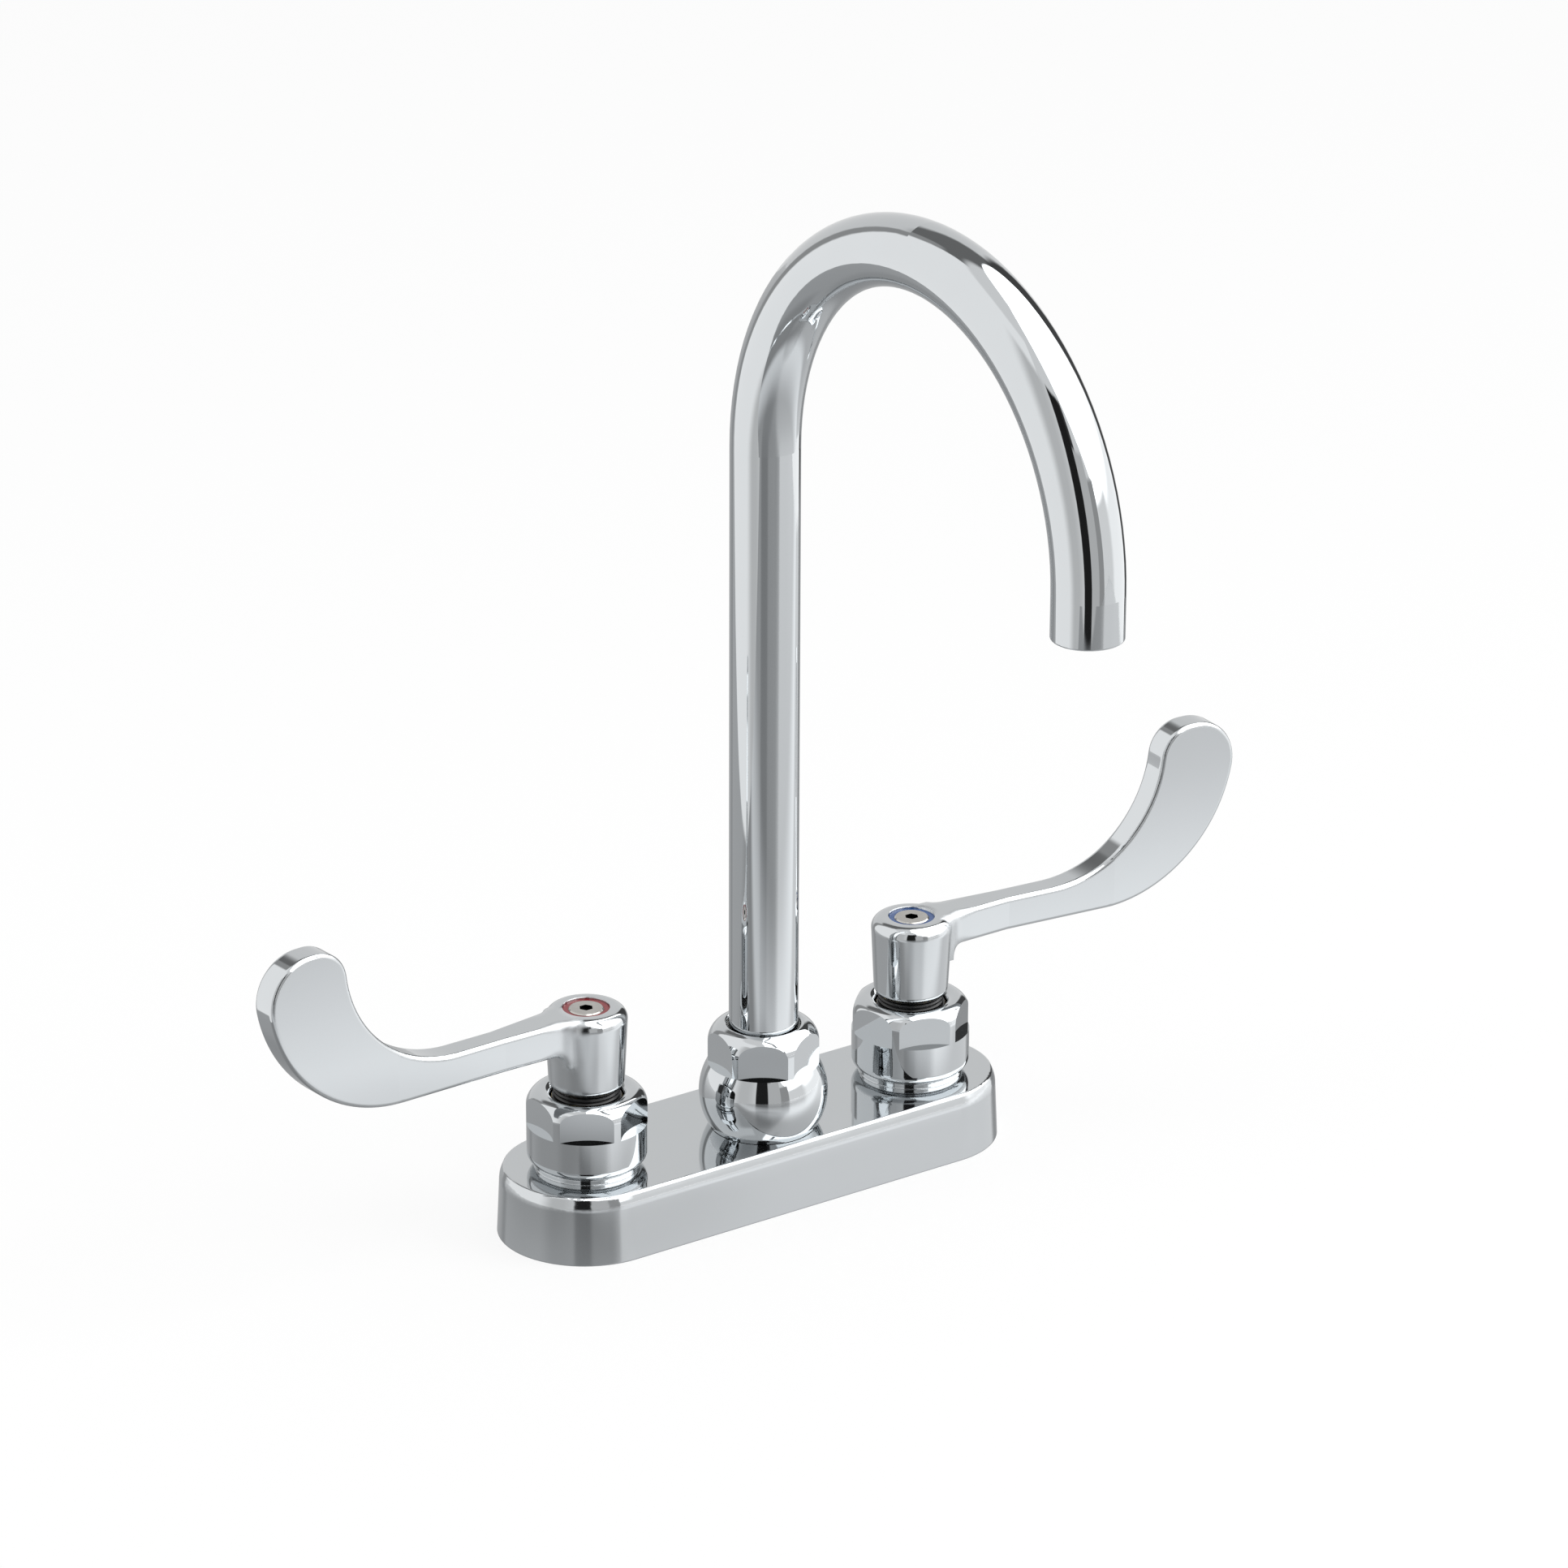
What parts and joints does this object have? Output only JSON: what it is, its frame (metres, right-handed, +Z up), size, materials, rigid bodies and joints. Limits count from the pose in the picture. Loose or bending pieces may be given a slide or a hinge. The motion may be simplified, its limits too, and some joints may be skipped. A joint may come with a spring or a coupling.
{
  "type": "centerset basin faucet",
  "caption": "Chrome deck-mounted centerset basin faucet with a tall gooseneck swing spout and wrist-blade lever handles.",
  "frame": {"origin": "in the deck plane, at the middle of the base's underside, halfway between the two valve axes", "axes": "+X from the hot valve to the cold valve, -Y towards the user, +Z straight up out of the deck"},
  "size_m": [0.2964, 0.1681, 0.3258],
  "materials": {
    "bright_chrome": "polished",
    "cast_chrome": "polished",
    "brass_turned": "turned",
    "zinc_steel": "zinc plated",
    "stainless_screw": "turned",
    "black_rubber": "matte",
    "black_plastic": "gloss",
    "white_plastic": "matte",
    "disc_ceramic": "lapped",
    "hot_index": "gloss",
    "cold_index": "gloss"
  },
  "bodies": {
    "base": {"base_casting": "cast_chrome", "deck_gasket": "black_rubber", "spout_nut": "bright_chrome", "spout_slip_washer": "white_plastic", "hot_inlet_shank": "brass_turned", "hot_shank_washer": "zinc_steel", "hot_lock_nut": "brass_turned", "hot_bonnet": "bright_chrome", "hot_cartridge_housing": "brass_turned", "hot_fixed_disc": "disc_ceramic", "hot_seat_seal": "black_rubber", "hot_housing_oring": "black_rubber", "hot_dust_ring": "black_plastic", "cold_inlet_shank": "brass_turned", "cold_shank_washer": "zinc_steel", "cold_lock_nut": "brass_turned", "cold_bonnet": "bright_chrome", "cold_cartridge_housing": "brass_turned", "cold_fixed_disc": "disc_ceramic", "cold_seat_seal": "black_rubber", "cold_housing_oring": "black_rubber", "cold_dust_ring": "black_plastic"},
    "spout": {"spout_tube": "bright_chrome", "spout_ferrule": "brass_turned", "spout_orings": "black_rubber", "aerator_housing": "bright_chrome", "flow_straightener": "white_plastic", "aerator_washer": "black_rubber"},
    "hot_handle": {"hot_lever": "bright_chrome", "hot_index_ring": "hot_index", "hot_handle_screw": "stainless_screw", "hot_stem": "brass_turned", "hot_moving_disc": "disc_ceramic", "hot_stem_oring": "black_rubber", "hot_stem_clip": "stainless_screw"},
    "cold_handle": {"cold_lever": "bright_chrome", "cold_index_ring": "cold_index", "cold_handle_screw": "stainless_screw", "cold_stem": "brass_turned", "cold_moving_disc": "disc_ceramic", "cold_stem_oring": "black_rubber", "cold_stem_clip": "stainless_screw"}
  },
  "joints": [
    {"name": "spout_swivel", "type": "hinge", "parent": "base", "child": "spout", "pos_m": [0, -0.0055, 0.04], "axis": [0, 0, 1], "range_deg": [-60, 60]},
    {"name": "hot_handle_turn", "type": "hinge", "parent": "base", "child": "hot_handle", "pos_m": [-0.0508, 0, 0.04], "axis": [0, 0, 1], "range_deg": [0, 90]},
    {"name": "cold_handle_turn", "type": "hinge", "parent": "base", "child": "cold_handle", "pos_m": [0.0508, 0, 0.04], "axis": [0, 0, 1], "range_deg": [-90, 0]}
  ]
}
